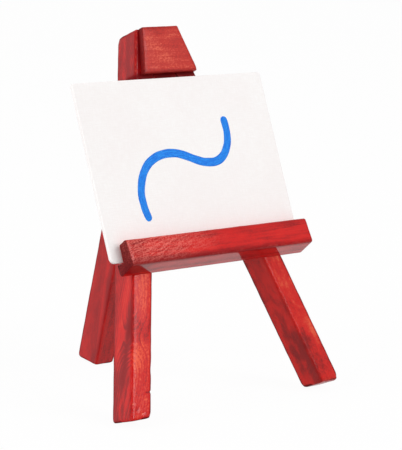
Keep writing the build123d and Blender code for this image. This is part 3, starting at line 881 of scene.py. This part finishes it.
def smoothThrough(points, steps):
    # Natural cubic curve through the points, spaced by the distance between them.
    points = np.array(points, float)
    t = np.concatenate([[0], np.cumsum(np.linalg.norm(np.diff(points, axis=0), axis=1))])
    h = np.diff(t)
    count = len(t)
    matrix, right = np.zeros((count, count)), np.zeros((count, 2))
    matrix[0, 0] = matrix[-1, -1] = 1
    i = np.arange(1, count - 1)
    matrix[i, i - 1], matrix[i, i], matrix[i, i + 1] = h[:-1], 2 * (h[:-1] + h[1:]), h[1:]
    slopes = np.diff(points, axis=0) / h[:, None]
    right[i] = 6 * (slopes[1:] - slopes[:-1])
    second = np.linalg.solve(matrix, right)
    s = np.linspace(0, t[-1], steps)
    k = np.clip(np.searchsorted(t, s, side="right") - 1, 0, count - 2)
    a, b, gap = ((t[k + 1] - s) / h[k])[:, None], ((s - t[k]) / h[k])[:, None], h[k][:, None]
    bend = (a ** 3 - a) * second[k] + (b ** 3 - b) * second[k + 1]
    return a * points[k] + b * points[k + 1] + bend * (gap ** 2 / 6), s


def paintRibbon(name, material):
    # Cross-sections like a low lens are carried along the curve; at both ends the width follows half a
    # circle, and the edges waver a little.
    line, s = smoothThrough(paintLine["points"], paintLine["steps"])
    ahead = unit(np.gradient(line, axis=0))
    side = np.stack([-ahead[:, 1], ahead[:, 0]], -1)
    half, seed = paintLine["width"] / 2, paintLine["seed"]
    end = np.minimum(s, s[-1] - s)
    taper = np.sqrt(np.clip(1 - np.clip(1 - end / half, 0, 1) ** 2, paintLine["leastTaper"], 1))[:, None]
    w = np.linspace(-1, 1, paintLine["across"] + 1)[None]
    flat = np.stack([s, 0 * s, 0 * s], -1)
    low, high = (1 + paintLine["waver"] * smoothField(flat, paintLine["waverPitch"], seed + k)[:, None]
                 for k in (0, 1))
    reach = half * taper * np.where(w < 0, low, high) * w
    rows, columns = reach.shape
    drawn = np.broadcast_to(s[:, None] * paintLine["streakDrawn"], reach.shape)
    drawn = np.stack([drawn, reach, 0 * reach], -1).reshape(-1, 3)
    streak = smoothField(drawn, paintLine["streakPitch"], seed + 5).reshape(reach.shape)
    lens = np.sqrt(np.clip(1 - w ** 4, 0, 1)) * np.clip(taper * 1.2, 0, 1)
    rise = paintLine["height"] * lens * (1 - paintLine["streakRise"] * (1 - streak))
    top = line[:, None] + side[:, None] * reach[..., None]
    upper = np.concatenate([top, (board["front"] + rise - paintLine["sunk"])[..., None]], -1)
    under = np.full((rows, columns, 1), board["front"] - paintLine["underside"])
    lower = np.concatenate([top[:, ::-1], under], -1)
    ring = np.concatenate([upper, lower], 1)
    off = np.concatenate([reach, reach[:, ::-1]], 1)
    stroke = np.stack([np.broadcast_to(s[:, None], off.shape), off, 0 * off], -1)
    piece = buildMesh(name, toRoom(*ring.reshape(-1, 3).T), tubeFaces(*off.shape),
                      dict(strokePoint=stroke.reshape(-1, 3)))
    finishPiece(piece, "board", material, "canvas")


def paintMaterial():
    # Flat poster paint: noise drawn out along the line blends two blues. Fine noise and the distance from
    # the middle add to a darker shade, and a few cells are left bare.
    material, tree, shader = newMaterial("bluePaint", {"Specular IOR Level": 0.2, "Roughness": 0.6})
    point = meshField(tree, "strokePoint", "Vector")
    streak = noise(point, (0.25, 2.2, 1.0), 3.0, 0.6)
    colour = blendColour(slide(streak, 0.35, 0.7), (8, 118, 230), (42, 156, 252))
    stipple = noise(point, 1.9, 2.0, 0.6)
    rim = calc("ABSOLUTE", part(point, "Y"))
    rim = slide(rim, paintLine["width"] * 0.36, paintLine["width"] * 0.5, 0.0, 0.5)
    shade = plus(slide(stipple, 0.44, 0.62, 0.0, 0.5), rim, clamp=True)
    colour = blendColour(shade, colour, (24, 96, 190))
    speck = node("ShaderNodeTexVoronoi", dict(Vector=point, Scale=0.55), feature="F1")
    pick = slide(noise(point, 0.16, 1.0), 0.55, 0.6)
    bare = times(slide(speck.outputs["Distance"], 0.05, 0.11, 1.0, 0.0), pick)
    colour = blendColour(times(bare, 0.7), colour, (214, 230, 248))
    dress(shader, colour, streak, 0.3, 0.05)
    return material


paintRibbon("paintedWave", paintMaterial())
print("painted line built")


# Card, paper and brass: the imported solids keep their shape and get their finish
def cardMaterial():
    # Grey pulp board: one curled noise blends two greys and gives the relief.
    material, tree, shader = newMaterial("greyCard", {"Specular IOR Level": 0.2, "Roughness": 0.9})
    pulp = noise(solidPoint(tree), 1.4, 4.0, 0.7, 0.8)
    dress(shader, blendColour(slide(pulp, 0.35, 0.65), (150, 143, 134), (176, 168, 157)), pulp, 0.5, 0.08)
    return material


def paperMaterial():
    # Smooth backing paper: a broad noise blends two pale tones, and a drawn-out one lays sparse fibres on it.
    material, tree, shader = newMaterial("backingPaper", {"Specular IOR Level": 0.25, "Roughness": 0.7})
    point = solidPoint(tree)
    cloud = slide(noise(point, 0.08, 4.0, 0.6), 0.3, 0.7)
    fibre = noise(point, (0.6, 2.4, 2.4), 3.0, 0.7, 1.5)
    colour = blendColour(cloud, (226, 222, 214), (216, 211, 202))
    colour = blendColour(slide(fibre, 0.60, 0.72, 0.0, 0.35), colour, (186, 176, 160))
    dress(shader, colour, fibre, 0.25, 0.04)
    return material


def brassMaterial(name, grainScale, light, dull):
    # Rolled brass: a drawn-out noise gives fine lines, a slower one patches of brown and duller tarnish.
    material, tree, shader = newMaterial(name, {"Metallic": 1.0})
    point = solidPoint(tree)
    lines = noise(point, grainScale, 3.0, 0.6)
    tarnish = slide(noise(point, 0.5, 4.0, 0.65), 0.45, 0.7)
    rough = plus(slide(lines, 0.3, 0.7, 0.24, 0.36), times(tarnish, 0.2))
    dress(shader, blendColour(tarnish, light, dull), lines, 0.25, 0.02, rough)
    return material


def dressNode(label, material):
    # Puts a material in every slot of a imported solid.
    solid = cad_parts[label]
    solid.data.materials.clear()
    solid.data.materials.append(material)


brass = dict(
    leafBrass=((0.4, 9.0, 9.0), (226, 190, 116), (168, 124, 66), ["hinge_frame_leaf", "hinge_leg_leaf"]),
    pinBrass=((9.0, 0.6, 0.6), (232, 200, 132), (170, 128, 72), ["hinge_pin"]),
    screwBrass=((5.0, 5.0, 5.0), (220, 182, 104), (140, 100, 56), ["frame_leaf_screws", "leg_leaf_screws"]),
)
cardCore("cardCore", cardMaterial())
dressNode("backing_paper", paperMaterial())
for name, (grainScale, light, dull, labels) in brass.items():
    material = brassMaterial(name, grainScale, light, dull)
    for label in labels:
        dressNode(label, material)
print("card, paper and brass finished")


# Studio: a pale floor, one large soft lamp, a weaker one, and an even white surround
studio = dict(
    floorSize=14.0, floorColour=(250, 250, 250), floorBounce=(196, 196, 196), floorGlow=0.955, surround=0.56,
    lampsAim=(0, 0, 0.08),
    lamps=[("keyLamp", 38.5, 1.9, (1.05, -2.3, 1.75)), ("fillLamp", 56.0, 2.4, (-3.0, -0.1, 1.0))],
)


def seenRays(tree):
    # 1 for what the eye, a reflection or a clear material sees, 0 for light that bounces.
    path = node("ShaderNodeLightPath", tree=tree)
    seen = calc("MAXIMUM", path.outputs["Is Camera Ray"], path.outputs["Is Glossy Ray"])
    return calc("MAXIMUM", seen, path.outputs["Is Transmission Ray"])


def layFloor():
    # A wide flat floor: part of what the eye sees of it is a white glow, the rest is lit and shaded. The
    # light that it throws back up is a little dimmer.
    half = studio["floorSize"] / 2
    mesh = bpy.data.meshes.new("studioFloor")
    corners = [(-half, -half, 0), (half, -half, 0), (half, half, 0), (-half, half, 0)]
    mesh.from_pydata(corners, [], [(0, 1, 2, 3)])
    floor = bpy.data.objects.new("studioFloor", mesh)
    bpy.context.collection.objects.link(floor)
    material, tree, shader = newMaterial("floorPaint", {"Specular IOR Level": 0.0, "Roughness": 1.0})
    seen = seenRays(tree)
    colour = blendColour(seen, studio["floorBounce"], studio["floorColour"])
    feed(shader.inputs["Base Color"], colour)
    glow = node("ShaderNodeEmission", dict(Color=(1, 1, 1, 1), Strength=1.0), tree)
    share = times(seen, studio["floorGlow"])
    mixed = node("ShaderNodeMixShader", {0: share, 1: shader.outputs[0], 2: glow.outputs[0]})
    feed(tree.nodes["Material Output"].inputs["Surface"], mixed.outputs[0])
    mesh.materials.append(material)


def lightStudio():
    # The surround is white where it is seen and dimmer where it only lights the easel.
    world = bpy.data.worlds.new("studioSurround")
    bpy.context.scene.world = world
    world.use_nodes = True
    tree = world.node_tree
    surround = tree.nodes["Background"].inputs
    surround["Color"].default_value = (1, 1, 1, 1)
    extra = times(seenRays(tree), 1 - studio["surround"])
    feed(surround["Strength"], plus(studio["surround"], extra))
    for name, watts, size, place in studio["lamps"]:
        data = bpy.data.lights.new(name, "AREA")
        data.energy, data.size, data.shape = watts, size, "DISK"
        lamp = bpy.data.objects.new(name, data)
        bpy.context.collection.objects.link(lamp)
        lamp.location = place
        lamp.rotation_euler = (Vector(studio["lampsAim"]) - Vector(place)).to_track_quat("-Z", "Y").to_euler()


layFloor()
lightStudio()
bpy.context.scene.view_settings.view_transform = "Standard"
print("studio ready")
